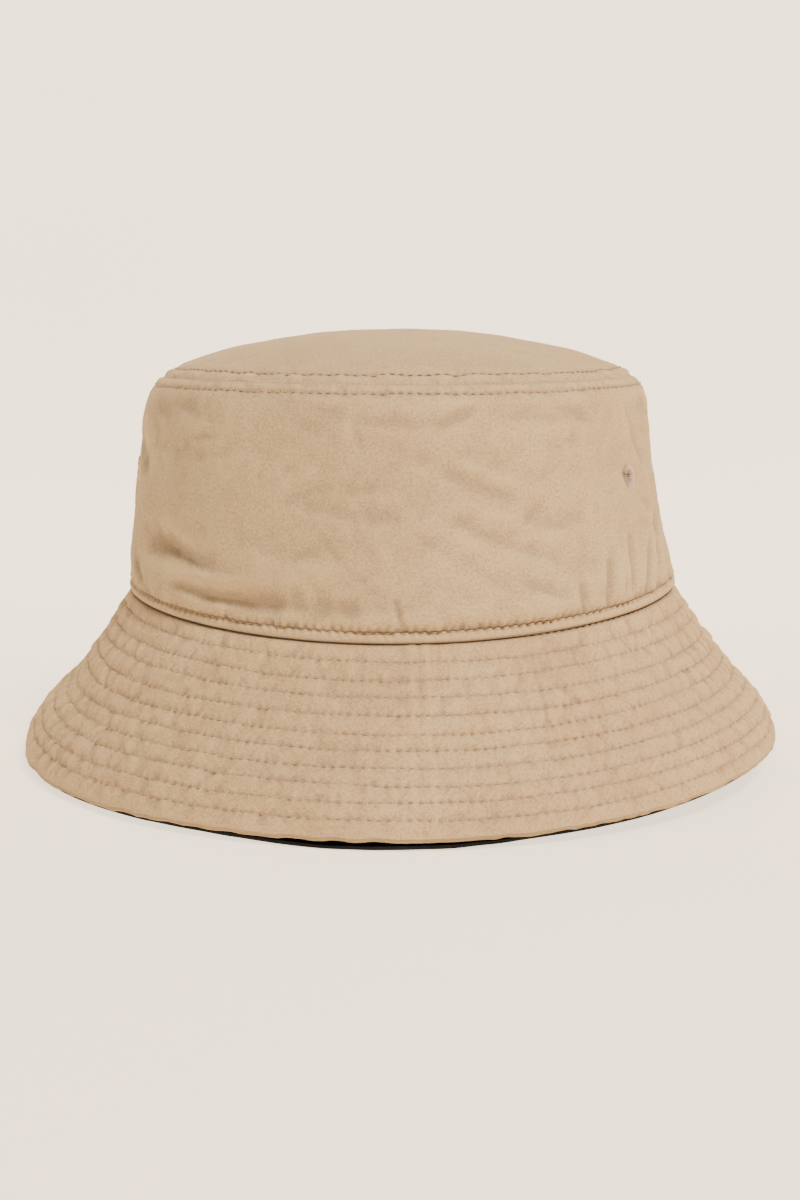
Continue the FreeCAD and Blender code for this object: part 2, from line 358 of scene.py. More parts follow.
def brim_relief(turn, depth, side=1, puffed=1.0):
    """Height of the brim's cloth over its smooth surface. side is 1 for the top and -1 for the under side."""
    length = brim_length(turn)
    share = depth / length
    above, below, band = rows_about(turn, share)
    gap = np.maximum(below - above, 1e-4)
    place = np.clip((share - above) / gap, 0, 1)
    wide = np.clip(gap * length / ROW_GAP, 0.0, 1.3)
    seed = 11 if side > 0 else 31
    puff = puffed * PUFF * wide * (4 * place * (1 - place)) ** 0.55
    tension = 0.55 + 0.45 * noise(seed, turn, share * 3, 17)
    right = np.clip(np.sin(turn), 0, 1) ** 2 * (1 - ease(0.35, 1.0, share))
    sides = 0.46 + 0.28 * np.sin(turn) ** 2 + 0.62 * right
    near = np.clip(np.minimum(share - above, below - share), 0, None) * length
    beside = (1 - np.exp(-near / 0.45)) * (0.45 + 0.55 * np.exp(-near / 1.5))
    gathers = 1.5 * puckers(turn, band, place, seed + 1, 6.2, 3.6)
    gathers = gathers + 1.1 * puckers(turn, band, place, seed + 2, 3.7, 2.4)
    gathers = 1.45 * gathers * beside * sides * (0.35 + 0.9 * tension)
    waves = 0.36 * noise(14, turn + 0.05 * share, share * 7, 46)
    waves = side * (waves + 0.50 * noise(15, turn - 0.08 * share, share * 5, 90))
    crumple = 0.20 * noise(seed + 5, turn, share * 26, 210)
    crossing = -0.35 * np.clip(noise(seed + 6, turn + 0.22 * share, share * 2.2, 64) - 0.2, 0, 1) * sides
    pulled = np.cos(turn * BRIM_STITCHES + 2.0 * noise(seed + 7, turn, 0, 80))
    pulled = 0.16 * pulled * bump(near, 0.6, 0.7)
    inner = 1 - ease(0.94, 0.99, share)
    relief = puff + (gathers + crossing + pulled + crumple) * inner * ease(0.0, 0.05, share)
    relief = relief + waves * (0.5 + 0.5 * sides) * ease(0.0, 0.08, share)
    seam = from_seams(turn, BRIM_SEAMS, BRIM_RADIUS)
    relief = relief + 0.30 * bump(seam, 2.3, 2.1) - 0.14 * bump(seam, 0.0, 0.7)
    if side > 0:
        relief = relief - 0.40 * np.exp(-np.clip(depth, 0, None) / 0.8)
    return relief


def brim_top(turn, depth):
    return raised(brim_smooth, turn, depth, brim_relief(turn, depth))


def brim_under(turn, depth):
    return raised(brim_smooth, turn, depth, -BRIM_THICKNESS - brim_relief(turn, depth, -1))


def hem_drop(turn):
    """How far the black hem stands out past the tan edge. It shows most at the front."""
    ahead = turn_gap(turn, math.radians(-6))
    front = bump(ahead, 0, np.where(ahead > 0, 0.32, 0.27))
    rear = bump(turn_gap(turn, math.pi), 0, 0.9)
    scallop = 0.12 * noise(71, turn, 0, 110) + 0.18 * noise(72, turn, 0, 41)
    return 0.42 + 1.6 * front + 0.6 * rear + scallop * (0.35 + front)


# ---- crown: band, dents and folds

# Dents and folds of the wall, the front ones as photographed: turn (degrees) and rise (mm) of one end, then
# of the other, half width (mm), and height (negative is inwards), which FOLD_SCALE turns into millimetres
FOLD_SCALE = 2.1
FOLDS = (
    (-50, 9, -20, 8, 2.6, -0.85), (-36, 7.5, -8, 7, 4.2, -0.6), (-60, 13.5, -30, 13.5, 3.2, 0.6),
    (-57, 21, -40, 16.5, 2.6, -0.8), (-62, 20, -48, 19.5, 4, -0.45), (-60, 17.5, -50, 20, 4, -0.6),
    (-34, 22, -14, 19, 5, 0.35), (-24, 9, 2, 9, 3.2, -0.35), (7, 48.5, 23, 38.5, 2.8, -0.42),
    (11, 50, 27, 41, 3, 0.35), (-20, 38, 0, 33.5, 2.6, -0.32), (10, 33.5, 31, 20, 3, -0.4),
    (12, 38, 36, 24, 3.6, 0.35), (20, 29, 40, 30, 2.6, -0.25), (36, 12, 36, 5, 1.6, -0.4),
    (45, 18, 42, 5, 1.9, -0.55), (49, 18, 46, 5, 1.8, 0.4), (54, 23, 50, 5, 2, -0.62),
    (62, 18, 55, 4.5, 1.9, -0.62), (66, 20, 58, 4.5, 1.7, 0.45), (70, 24, 61, 4.5, 2.1, -0.8),
    (75, 24, 66, 5, 2.2, 0.45), (82, 26, 74, 8, 2.4, -0.45), (-1, 12, 0, 4.2, 0.7, -0.42),
    (24, 14, 34, 8, 2.6, -0.45), (-54, 63, -40, 60, 3.4, -0.35), (-66, 60, -58, 44, 3.8, -0.35),
    (58, 60, 66, 42, 2.6, -0.4), (-80, 48, -66, 42, 5, -0.7), (-12, 62, 12, 60.5, 2.2, -0.22),
    (20, 62, 44, 58.5, 2.6, -0.3), (-70, 12, -62, 6, 2.2, -0.6), (104, 46, 112, 14, 3, -0.7),
    (128, 18, 150, 9, 2.8, -1), (140, 24, 170, 19, 4, 0.5), (168, 50, 196, 40, 3.5, -0.5),
    (185, 16, 212, 9, 2.6, -0.9), (222, 30, 226, 5, 1.8, -0.6), (232, 28, 234, 5, 1.8, 0.5),
    (240, 30, 239, 5, 1.8, -0.6), (120, 60, 150, 52, 3.6, -0.5), (206, 58, 240, 50, 3.4, -0.5),
)


def fold_relief(turn, rise):
    """The sum of the named dents and folds. Each fades out towards its ends."""
    relief = np.zeros(turn.shape)
    ragged = noise(49, turn, rise / 5, 110) + 0.5 * noise(50, turn, rise / 2.2, 260)
    for start, low, end, high, width, height in FOLDS:
        x = turn_gap(turn, math.radians((start + end) / 2)) * PATTERN_RADIUS
        y = rise - (low + high) / 2
        run = math.radians(end - start) * PATTERN_RADIUS
        climb = high - low
        reach = math.hypot(run, climb)
        along = (x * run + y * climb) / reach
        across = (-x * climb + y * run) / reach
        bend = 0.10 * along**2 / reach + 0.15 * ragged
        fade = np.exp(-((along / (0.52 * reach)) ** 4)) * (1 + 0.15 * ragged)
        gap = across - bend
        width = np.where(gap * height > 0, 0.6, 1.5) * width
        relief += height * np.exp(-((gap / width) ** 2)) * fade
    return FOLD_SCALE * relief


def wall_relief(turn, rise):
    """Height of the wall's cloth over its smooth surface."""
    top = wall_height(turn)
    left = top - rise
    above = np.clip(rise - BAND_HEIGHT, 0, None)
    swell = (3.0 - 2.2 * np.sin(turn) ** 6) * (1 - np.exp(-above / 2.4)) * np.exp(-above / 20.0)
    arc = turn * WALL_RADIUS
    scallops = np.cos(FULL * arc / STITCH + 0.7 * noise(41, turn, 0, 90))
    reach = np.where(rise > 1.4, 1.5 - 0.30 * scallops, 1.4)
    lip = 0.85 * np.exp(-(((rise - 1.4) / reach) ** 4)) - 0.45 * np.exp(-np.clip(rise, 0, None) / 0.35)
    lip = lip - 0.20 * scallops * bump(rise, 2.2, 0.7)
    gather = 0.40 * scallops * bump(rise, BAND_HEIGHT + 1.1, 0.8)
    gather += 1.1 * noise(42, turn, rise / 9, 120) * np.exp(-above / 6.0) * ease(0.2, 1.4, above)
    gather += 0.7 * noise(43, turn, rise / 5, 230) * np.exp(-above / 3.0) * ease(0.0, 1.0, above)
    gather += 0.20 * noise(53, turn, rise / 6, 150) * bump(rise, 1.4, 1.0)
    groove = -0.40 * bump(rise, BAND_HEIGHT + 0.3, 0.4)
    row = -0.30 * bump(left, WALL_ROW, 0.55) - 0.30 * np.exp(-np.clip(left, 0, None) / 0.5)
    seam_strip = 0.26 * bump(left, 1.5, 1.1) + 0.20 * bump(left, WALL_ROW + 2.2, 2.0)
    strip_gather = 0.45 * noise(44, turn, left / 6, 150) + 0.34 * noise(54, turn, left / 4, 290)
    strip_gather = strip_gather * bump(left, 1.4, 2.6) * ease(0.0, 1.2, left)
    soft = 0.75 * noise(45, turn + 0.004 * rise, rise / 26, 17)
    soft = soft + 0.42 * noise(46, turn - 0.006 * rise, rise / 15, 38)
    fine = 0.17 * noise(47, turn, rise / 4, 150) + 0.08 * noise(48, turn, rise / 2, 330)
    body = ease(3.0, 10.0, rise) * ease(3.0, 9.0, left)
    relief = lip + swell + gather + groove + row + seam_strip + strip_gather
    small = creases(arc, rise, FULL * WALL_RADIUS, 55, 170, 5, 68, (4, 16), (1.2, 3.0), (0.12, 0.48))
    relief += (soft + fine + small) * body
    relief += fold_relief(turn, rise) * ease(2.6, 4.4, rise) * ease(2.5, 6.0, left)
    seam = from_seams(turn, WALL_SEAMS, 92.0)
    relief += (0.30 * bump(seam, 2.4, 1.8) - 0.55 * bump(seam, 0.0, 0.5)) * ease(0.0, 1.2, left)
    for place in EYELET_TURNS.values():
        reach = np.hypot(turn_gap(turn, place) * LINING_RADIUS, rise - EYELET_HEIGHT)
        relief += -0.35 * bump(reach, 0.0, 3.8)
    return relief


def wall_outside(turn, rise):
    return raised(wall_smooth, turn, rise, wall_relief(turn, rise))


def wall_inside(turn, rise):
    """The inner hat's wall. It has its own slack and is drawn in at the same base row."""
    left = wall_height(turn) - 3.0 - rise
    slack = 0.8 * noise(61, turn, rise / 22, 15) + 0.4 * noise(62, turn, rise / 10, 44)
    slack = slack + 0.08 * noise(63, turn, rise / 3, 200)
    relief = LINING_GAP + 0.9 * slack * ease(3.0, 11.0, rise) * ease(0.0, 8.0, left)
    relief += 0.3 * bump(rise, 1.4, 1.2) - 0.4 * bump(rise, BAND_HEIGHT, 0.6) - 0.35 * bump(left, 3.6, 0.6)
    seam = from_seams(turn, WALL_SEAMS, 90.0)
    relief += 0.25 * bump(seam, 2.4, 1.8) - 0.4 * bump(seam, 0.0, 0.5)
    return raised(wall_smooth, turn, rise, -relief)


def tip_plan(turn, inset):
    """Places on the tip seen from above, from -1 to 1 both ways."""
    share = np.clip(1 - inset / TIP_WIDTHS[-1], 0, 1)
    return share * np.sin(turn), share * np.cos(turn)


def tip_raised(turn, inset, relief):
    """The tip moved out by a relief. At its very middle, out is up."""
    middle = inset[..., None] > TIP_WIDTHS[-1] - 1.0
    normal = np.where(middle, (0.0, 0.0, 1.0), outward_normal(tip_smooth, turn, inset))
    return tip_smooth(turn, inset) + normal * relief[..., None]


def tip_relief(turn, inset):
    """Height of the tip's cloth over its smooth surface."""
    row = -0.30 * bump(inset, TIP_ROW, 0.55) - 0.30 * np.exp(-np.clip(inset, 0, None) / 0.5)
    strip = 0.32 * bump(inset, 2.1, 1.5) + 0.16 * bump(inset, TIP_ROW + 2.4, 2.2)
    gather = 0.55 * noise(51, turn, inset / 6, 140) + 0.34 * noise(57, turn, inset / 4, 280)
    gather = gather * bump(inset, 2.0, 2.6) * ease(0.0, 1.2, inset)
    gather += 0.28 * noise(52, turn, inset / 4, 100) * bump(inset, TIP_ROW + 2.0, 3.5)
    x, y = tip_plan(turn, inset)
    soft = 0.5 * np.sin(3.1 * x + 1.0) * np.sin(3.7 * y + 0.4)
    soft = soft + 0.22 * np.sin(8.3 * x - 5.1 * y) * np.sin(6.7 * y + 2.3 * x)
    fine = 0.10 * np.sin(23 * x + 9 * y) * np.sin(19 * y - 11 * x + 1.0)
    small = creases(x * 77 + 400, y * 84, 800.0, 56, 60, -80, 80, (4, 16), (1.0, 3.0), (0.08, 0.30))
    return row + strip + gather + (soft + fine + small * 0.8) * ease(5.0, 14.0, inset)


def tip_outside(turn, inset):
    return tip_raised(turn, inset, tip_relief(turn, inset))


def tip_inside(turn, inset):
    x, y = tip_plan(turn, inset)
    slack = 0.6 * np.sin(4.1 * x - 0.4) * np.sin(3.3 * y + 1.4) + 0.2 * np.sin(9.3 * x + 6.1 * y)
    relief = LINING_GAP + slack * ease(3.0, 12.0, inset) - 0.35 * bump(inset, TIP_ROW, 0.6)
    return tip_raised(turn, inset, -relief)


# ---- meshes


def new_piece(name, points, faces, weave=None, painted_shading=None):
    """A smooth piece in metres, from points in millimetres and an array of four-cornered faces."""
    mesh = bpy.data.meshes.new(name)
    points = np.ascontiguousarray(points.reshape(-1, 3) * MM, np.float32)
    faces = np.ascontiguousarray(faces.reshape(-1, 4), np.int32)
    mesh.vertices.add(len(points))
    mesh.vertices.foreach_set("co", points.ravel())
    mesh.loops.add(faces.size)
    mesh.loops.foreach_set("vertex_index", faces.ravel())
    mesh.polygons.add(len(faces))
    mesh.polygons.foreach_set("loop_start", np.arange(0, faces.size, 4, dtype=np.int32))
    mesh.polygons.foreach_set("use_smooth", np.ones(len(faces), bool))
    mesh.update(calc_edges=True)
    # The weave attribute places the cloth's texture, and the other one holds painted shading.
    layers = ("weave", "FLOAT_VECTOR", "vector", weave), ("painted_shading", "FLOAT", "value", painted_shading)
    for label, kind, key, values in layers:
        if values is not None:
            layer = mesh.attributes.new(label, kind, "POINT")
            layer.data.foreach_set(key, np.ascontiguousarray(values, np.float32).ravel())
    mesh.validate()
    piece = bpy.data.objects.new(name, mesh)
    bpy.context.scene.collection.objects.link(piece)
    return piece


def quads(*corners):
    return np.stack(np.broadcast_arrays(*corners), -1).reshape(-1, 4)


def grid_faces(rows, columns, flip=False, closed=False):
    """Faces of a grid whose points run along columns first. closed joins the last row to the first."""
    row = np.arange(rows if closed else rows - 1)[:, None]
    column = np.arange(columns - 1)[None, :]
    here, ahead = row * columns + column, (row + 1) % rows * columns + column
    faces = quads(here, ahead, ahead + 1, here + 1)
    return faces[:, ::-1] if flip else faces


def panel(name, surface, turns, depths, flip, weave, shade=None, hole_tool=None, closed=False):
    """A cloth panel. depths holds a row of depths for each turn. weave gives its pattern attribute, and shade
    its painted shading.
    """
    turn = np.repeat(turns[:, None], depths.shape[1], 1)
    points = surface(turn, depths)
    faces = grid_faces(len(turns), depths.shape[1], flip, closed)
    if hole_tool is not None:
        middle = points.reshape(-1, 3)[faces].mean(1)
        faces = faces[~hole_tool(middle)]
    painted_shading = None if shade is None else shade(turn, depths)
    return new_piece(name, points, faces, weave(turn, depths), painted_shading)


# ---- cloth patterns: the flat cut of each panel

CONE_RADIUS = 166.0  # of the brim's flat pattern, at the crown seam
CONE_SHARE = 0.565  # turn in the flat pattern for each turn round the hat


def brim_pattern(middle):
    def flat(turn, depth):
        angle = turn_gap(turn, middle) * CONE_SHARE
        radius = CONE_RADIUS + depth
        return np.stack([radius * np.sin(angle), -radius * np.cos(angle), np.zeros(turn.shape)], -1)

    return flat


def wall_pattern(middle):
    def flat(turn, rise):
        return np.stack([turn_gap(turn, middle) * PATTERN_RADIUS, rise, np.zeros(turn.shape)], -1)

    return flat


def tip_pattern(turn, inset):
    points = tip_smooth(turn, inset)
    points[..., 2] = 0
    return points


# ---- painted shading: more than 0 where shade is painted darker into seams, grooves and creases, and less where the cloth is paler, as painted highlight on ridges and at the fold of the brim's edge


def averaged(values, reach):
    """Each value's average with its neighbours in a grid, that far both ways."""
    for axis in (0, 1):
        size = values.shape[axis]
        margins = [(reach + 1, reach) if axis == other else (0, 0) for other in (0, 1)]
        total = np.cumsum(np.pad(values, margins, mode="edge"), axis)
        ahead = np.take(total, np.arange(size) + 2 * reach + 1, axis)
        values = (ahead - np.take(total, np.arange(size), axis)) / (2 * reach + 1)
    return values


def crease_shading(relief, reach):
    """Painted shade and light: 1 in the creases of a cloth, painted darker where shade falls, and -1 on its
    ridges, painted paler as highlight.
    """
    return np.clip((averaged(averaged(relief, reach), reach) - relief) / 0.42, -1, 1)


# Painted shade along the stitch rows of the brim, darkest at each stitch.
def brim_groove_shading(turn, depth):
    length = brim_length(turn)
    share = depth / length
    above, below, _ = rows_about(turn, share)
    up, down = abs(share - above) * length, abs(below - share) * length
    near = np.where(above == 0, down, np.minimum(up, down))
    near = np.where(below == 1, up, near)
    return (0.7 + 0.3 * np.cos(turn * BRIM_STITCHES)) * bump(near, 0, 0.38)


# Painted shade in the creases of the brim and painted highlight on its ridges.
def brim_crease_shading(turn, depth, side, reach):
    return crease_shading(brim_relief(turn, np.minimum(depth, brim_length(turn)), side, 0.25), reach)


def brim_shading(turn, depth):
    """Painted shade makes the crown seam, the stitch grooves and the creases darker, with painted highlight
    on the ridges, and the fold at the edge is paler.
    """
    # Painted shade in the crown seam, where the brim meets the wall.
    seam = 1.7 * np.exp(-np.clip(depth, 0, None) / 0.6)
    shade_marks = 0.60 * brim_groove_shading(turn, depth) + 0.65 * brim_crease_shading(turn, depth, 1, 4) + seam
    return np.where(depth < FOLD_START, shade_marks, -0.7)


# Painted shade in the stitch grooves and creases of the black under side, with painted highlight on its
# ridges.
def brim_under_shading(turn, depth):
    shade_marks = 0.5 * brim_groove_shading(turn, depth) + 0.8 * brim_crease_shading(turn, depth, -1, 3)
    return np.where(depth < FOLD_START, shade_marks, 0.0)


# Painted shade at the crown seam, the stitch rows and the tip seam, a painted shadow above the band, and
# painted shade in creases with painted highlight on ridges.
def wall_shading(turn, rise):
    left = wall_height(turn) - rise
    rows = 2.0 * np.exp(-rise / 0.45) + 0.25 * bump(rise, BAND_HEIGHT + 0.3, 0.4)
    rows = rows + 0.3 * bump(left, WALL_ROW, 0.45) + 0.2 * bump(left, 0, 0.5)
    above = np.clip(rise - BAND_HEIGHT, 0, None)
    # Painted shadow above the band, under the bulge of the wall over it.
    shaded = (0.66 + 0.40 * noise(64, turn, rise / 8, 60)) * np.exp(-above / 4.0) * (rise > BAND_HEIGHT)
    return rows + shaded + 0.6 * crease_shading(wall_relief(turn, rise), 4)


# Painted shade at the row and the tip seam and in the creases, with painted highlight on the ridges.
def tip_shading(turn, inset):
    rows = 0.3 * bump(inset, TIP_ROW, 0.45) + 0.2 * bump(inset, 0, 0.5)
    return rows + 0.5 * crease_shading(tip_relief(turn, inset), 3)


# ---- materials


def fill(tree, made, inputs):
    """Fills a node's sockets, given by name or number: a socket is linked, and a plain value is set."""
    for place, value in inputs.items():
        socket = made.inputs[place]
        if isinstance(value, bpy.types.NodeSocket):
            tree.links.new(value, socket)
        else:
            socket.default_value = (*value, 1.0) if socket.type == "RGBA" else value


def node(tree, kind, inputs, **settings):
    made = tree.nodes.new(kind)
    for name, value in settings.items():
        setattr(made, name, value)
    fill(tree, made, inputs)
    return made


def new_material(name):
    """A material, its node tree, its shader, and the place on the object for its textures."""
    material = bpy.data.materials.new(name)
    material.use_nodes = True
    tree = material.node_tree
    place = node(tree, "ShaderNodeTexCoord", {}).outputs["Object"]
    return material, tree, tree.nodes["Principled BSDF"], place


def mix_colour(tree, share, first, second):
    return node(tree, "ShaderNodeMix", {0: share, 6: first, 7: second}, data_type="RGBA").outputs[2]


def calc(tree, operation, first, second):
    return node(tree, "ShaderNodeMath", {0: first, 1: second}, operation=operation).outputs[0]


def turned(tree, source, turn, scale=(1.0, 1.0, 1.0)):
    inputs = {"Vector": source, "Scale": scale, "Rotation": (0, 0, math.radians(turn))}
    return node(tree, "ShaderNodeMapping", inputs).outputs[0]


def noise_node(tree, source, scale, detail, rough):
    inputs = {"Vector": source, "Scale": scale, "Detail": detail, "Roughness": rough}
    return node(tree, "ShaderNodeTexNoise", inputs).outputs[0]


def stripes(tree, source, period, turn, wobble):
    """Soft stripes across the cloth pattern, a period in millimetres apart, for the ribs of a weave."""
    inputs = {"Vector": turned(tree, source, turn), "Scale": FULL / (20.0 * period), "Distortion": wobble}
    inputs.update({"Detail": 1.0, "Detail Scale": 2.0})
    return node(tree, "ShaderNodeTexWave", inputs).outputs[1]


def ramp(tree, source, low, high):
    return node(tree, "ShaderNodeMapRange", {0: source, 1: low, 2: high}, clamp=True).outputs[0]


def bump_node(tree, height, distance, under=None):
    """The normals of a bump, with its distance in millimetres, over those of another."""
    made = node(tree, "ShaderNodeBump", {"Strength": 1.0, "Distance": distance * MM, "Height": height})
    if under is not None:
        tree.links.new(under, made.inputs["Normal"])
    return made.outputs[0]


def twill_material(name, colours, rib_turn, rib_depth, sheen=0.12, gloss=0.22):
    """Cotton twill: diagonal ribs, single yarns, slubs and uneven dye, with painted shade in the sewn
    grooves, seams and creases and painted highlight on the ridges.
    """
    base, pale, warm, groove = colours
    material, tree, shader, place = new_material(name)
    cloth = node(tree, "ShaderNodeAttribute", {}, attribute_name="weave").outputs["Vector"]
    # Painted shading: more than 0 for painted shade, less than 0 for painted highlight and the paler fold.
    painted_shading = node(tree, "ShaderNodeAttribute", {}, attribute_name="painted_shading").outputs["Fac"]
    yarn_turn = rib_turn + 62.0

    ribs = stripes(tree, cloth, 0.70, rib_turn, 0.8)
    yarns = stripes(tree, cloth, 0.34, yarn_turn, 1.2)
    slubs = noise_node(tree, turned(tree, cloth, yarn_turn, (0.35, 3.2, 1.0)), 1.0, 3.0, 0.6)
    lint = noise_node(tree, cloth, 1.1, 5.0, 0.8)
    dye = noise_node(tree, place, 26.0, 3.0, 0.55)
    blotch = noise_node(tree, place, 75.0, 2.0, 0.5)

    colour = mix_colour(tree, ramp(tree, dye, 0.35, 0.68), base, pale)
    for share, strength, layer in (
        (ramp(tree, blotch, 0.52, 0.72), 0.55, warm),
        (calc(tree, "SUBTRACT", 1.0, ribs), 0.22, groove),
        (ramp(tree, slubs, 0.50, 0.72), 0.60, pale),
        (ramp(tree, lint, 0.44, 0.68), 0.70, groove),
        # Painted shade in the grooves, seams and creases.
        (calc(tree, "MAXIMUM", painted_shading, 0.0), 0.60, groove),
    ):
        colour = mix_colour(tree, calc(tree, "MULTIPLY", share, strength), colour, layer)
    # Painted highlight on the ridges, and the paler fold of the brim's edge.
    paled = calc(tree, "MAXIMUM", calc(tree, "MULTIPLY", painted_shading, -0.7), 0.0)
    colour = mix_colour(tree, paled, colour, pale)
    # Painted shade at the bottom of the crown seam.
    colour = mix_colour(tree, ramp(tree, painted_shading, 1.0, 2.2), colour, SEAM_SHADE)

    height = calc(tree, "MULTIPLY", ribs, 0.75)
    for part, strength in ((yarns, 0.25), (slubs, 0.6), (lint, 2.4)):
        height = calc(tree, "ADD", height, calc(tree, "MULTIPLY", part, strength))
    crumple = noise_node(tree, place, 150.0, 4.0, 0.6)
    normal = bump_node(tree, crumple, 0.9, bump_node(tree, height, rib_depth))
    look = {"Base Color": colour, "Normal": normal, "Roughness": 0.92, "Specular IOR Level": gloss}
    look.update({"Sheen Weight": sheen, "Sheen Roughness": 0.5, "Sheen Tint": pale})
    fill(tree, shader, look)
    return material


def thread_material(name, dark, light):
    """Twisted sewing thread, a little uneven in colour."""
    material, tree, shader, place = new_material(name)
    twist = noise_node(tree, place, 2200.0, 2.0, 0.6)
    tone = noise_node(tree, place, 160.0, 2.0, 0.5)
    colour = mix_colour(tree, ramp(tree, tone, 0.35, 0.65), dark, light)
    colour = mix_colour(tree, calc(tree, "MULTIPLY", ramp(tree, twist, 0.4, 0.7), 0.35), colour, light)
    look = {"Base Color": colour, "Normal": bump_node(tree, twist, 0.05), "Roughness": 0.7}
    look.update({"Specular IOR Level": 0.3, "Sheen Weight": 0.2})
    fill(tree, shader, look)
    return material


def felt_material(name, base, fibre):
    """The stiff non-woven interlining."""
    material, tree, shader, place = new_material(name)
    fibres = noise_node(tree, place, 900.0, 4.0, 0.7)
    colour = mix_colour(tree, ramp(tree, fibres, 0.4, 0.65), base, fibre)
    fill(tree, shader, {"Base Color": colour, "Normal": bump_node(tree, fibres, 0.1), "Roughness": 0.95})
    return material


# Base, pale, warm and groove colours of each cloth. The groove colour darkens the weave's ribs and lint, and
# is also the painted shade of grooves, seams and creases.
GROOVE = (0.222, 0.155, 0.100)
TAN = ((0.562, 0.383, 0.193), (0.664, 0.468, 0.240), (0.565, 0.363, 0.186), GROOVE)
BRIM = ((0.606, 0.395, 0.187), (0.712, 0.482, 0.240), (0.606, 0.374, 0.185), GROOVE)
BLACK = ((0.013, 0.0115, 0.0115), (0.030, 0.028, 0.029), (0.013, 0.0115, 0.0115), (0.006, 0.005, 0.005))
# Painted shade at the bottom of the crown seam groove.
SEAM_SHADE = (0.230, 0.180, 0.140)  # in the crown seam

# Each look is a material and its slot
CROWN = twill_material("tan_twill_crown", TAN, -58.0, 0.08), "tan_twill"
TIP = twill_material("tan_twill_tip", TAN, 35.0, 0.08), "tan_twill"
BRIM_LEFT = twill_material("tan_twill_brim_left", BRIM, 20.0, 0.10), "tan_twill"
BRIM_RIGHT = twill_material("tan_twill_brim_right", BRIM, -8.0, 0.10), "tan_twill"
LINING = twill_material("black_twill", BLACK, -58.0, 0.08, 0.05, 0.08), "black_twill"
TAN_THREAD = thread_material("tan_thread", (0.28, 0.18, 0.10), (0.42, 0.275, 0.16)), "tan_thread"
PALE_THREAD = thread_material("tan_thread_pale", (0.50, 0.345, 0.195), (0.60, 0.425, 0.25)), "tan_thread"
BLACK_THREAD = thread_material("black_thread", (0.018, 0.016, 0.017), (0.05, 0.047, 0.05)), "black_thread"
EYELET_THREAD = thread_material("eyelet_thread", (0.32, 0.21, 0.14), (0.68, 0.52, 0.38)), "eyelet_thread"
FELT = felt_material("interlining_felt", (0.68, 0.66, 0.60), (0.80, 0.78, 0.73)), "interlining"


def finish_piece(piece, look, *nodes):
    """look is a material and the name of a slot, which is not used."""
    material, slot = look
    piece.data.materials.append(material)
    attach(piece, "root")
    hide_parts(*nodes)


# ---- panels of cloth


def between_turns(start, end, step, radius):
    """Turns from start to end, about a step in millimetres apart at a radius."""
    return np.linspace(start, end, int((end - start) * radius / step) + 1)


def eyelet_tool(surface, radius):
    """Says which points lie inside an eyelet's hole."""
    height = np.array([EYELET_HEIGHT])
    centres = [surface(np.array([turn]), height)[0] for turn in EYELET_TURNS.values()]

    def inside(points):
        return np.any([np.linalg.norm(points - centre, axis=1) < radius for centre in centres], axis=0)

    return inside


LOW_END = (0.0, 0.25, 0.55, 0.9, 1.3, 1.7, 2.1, 2.45, 2.75, 3.0, 3.25, 3.5, 3.8, 4.2, 4.7, 5.3, 6.0)
HIGH_END = (0.0, 0.25, 0.55, 0.9, 1.3, 1.75, 2.2, 2.6, 2.9, 3.15, 3.4, 3.65, 3.9, 4.2, 4.7, 5.3, 6.0)
TIP_END = (0.0, 0.25, 0.55, 0.9, 1.3, 1.8, 2.3, 2.8, 3.3, 3.7, 4.05, 4.35, 4.6, 4.85, 5.15, 5.5, 6.0)


def crown_depths(turns, stop_short, step):
    """Rises from the crown seam to the tip seam, closer together at the stitched ends."""
    end = LOW_END[-1]
    top = wall_height(turns)[:, None] - stop_short
    middle = np.linspace(0, 1, int(56.0 / step) + 2)[None, 1:-1]
    lower = np.repeat(np.array(LOW_END)[None, :], len(turns), 0)
    return np.concatenate([lower, end + (top - 2 * end) * middle, top - np.array(HIGH_END)[None, ::-1]], 1)


def make_crown():
    right, left = WALL_SEAMS
    # Node, surface, flipped faces, steps round and up, radius, gap at the tip seam, eyelet room, painted
    # shading, look
    cloths = (
        ("crown_panel", wall_outside, False, 0.62, 0.8, WALL_RADIUS, 0.0, 0.6, wall_shading, CROWN),
        ("lining_panel", wall_inside, True, 1.3, 1.3, LINING_RADIUS, 0.3, 0.8, None, LINING),
    )
    for side, start, end in (("front", left, right), ("rear", right, left + FULL)):
        pattern = wall_pattern((start + end) / 2)
        for label, surface, flip, step, step_up, radius, short, room, shade_marks, look in cloths:
            turns = between_turns(start, end, step, radius)
            rises = crown_depths(turns, short, step_up)
            tool = eyelet_tool(surface, EYELET_HOLE + room)
            piece = panel(f"{label}_{side}_cloth", surface, turns, rises, flip, pattern, shade_marks, tool)
            finish_piece(piece, look, f"{label}_{side}")


def make_tip():
    for label, surface, flip, step, shade_marks, look in (
        ("crown_tip", tip_outside, False, 0.85, tip_shading, TIP),
        ("lining_tip", tip_inside, True, 1.4, None, LINING),
    ):
        turns = np.linspace(0, FULL, int(FULL * 80 / step) + 1)[:-1]
        rest = np.linspace(TIP_END[-1], TIP_WIDTHS[-1] - 0.02, int(72 / step))[1:]
        insets = np.repeat(np.concatenate([TIP_END, rest])[None, :], len(turns), 0)
        piece = panel(f"{label}_cloth", surface, turns, insets, flip, tip_pattern, shade_marks, closed=True)
        finish_piece(piece, look, label)


HEM_RADIUS = 0.95
TABLE_GAP = 0.06  # lowest height of the brim, where its edge rests
TABLE_EASE = 0.25  # how softly the edge meets that height


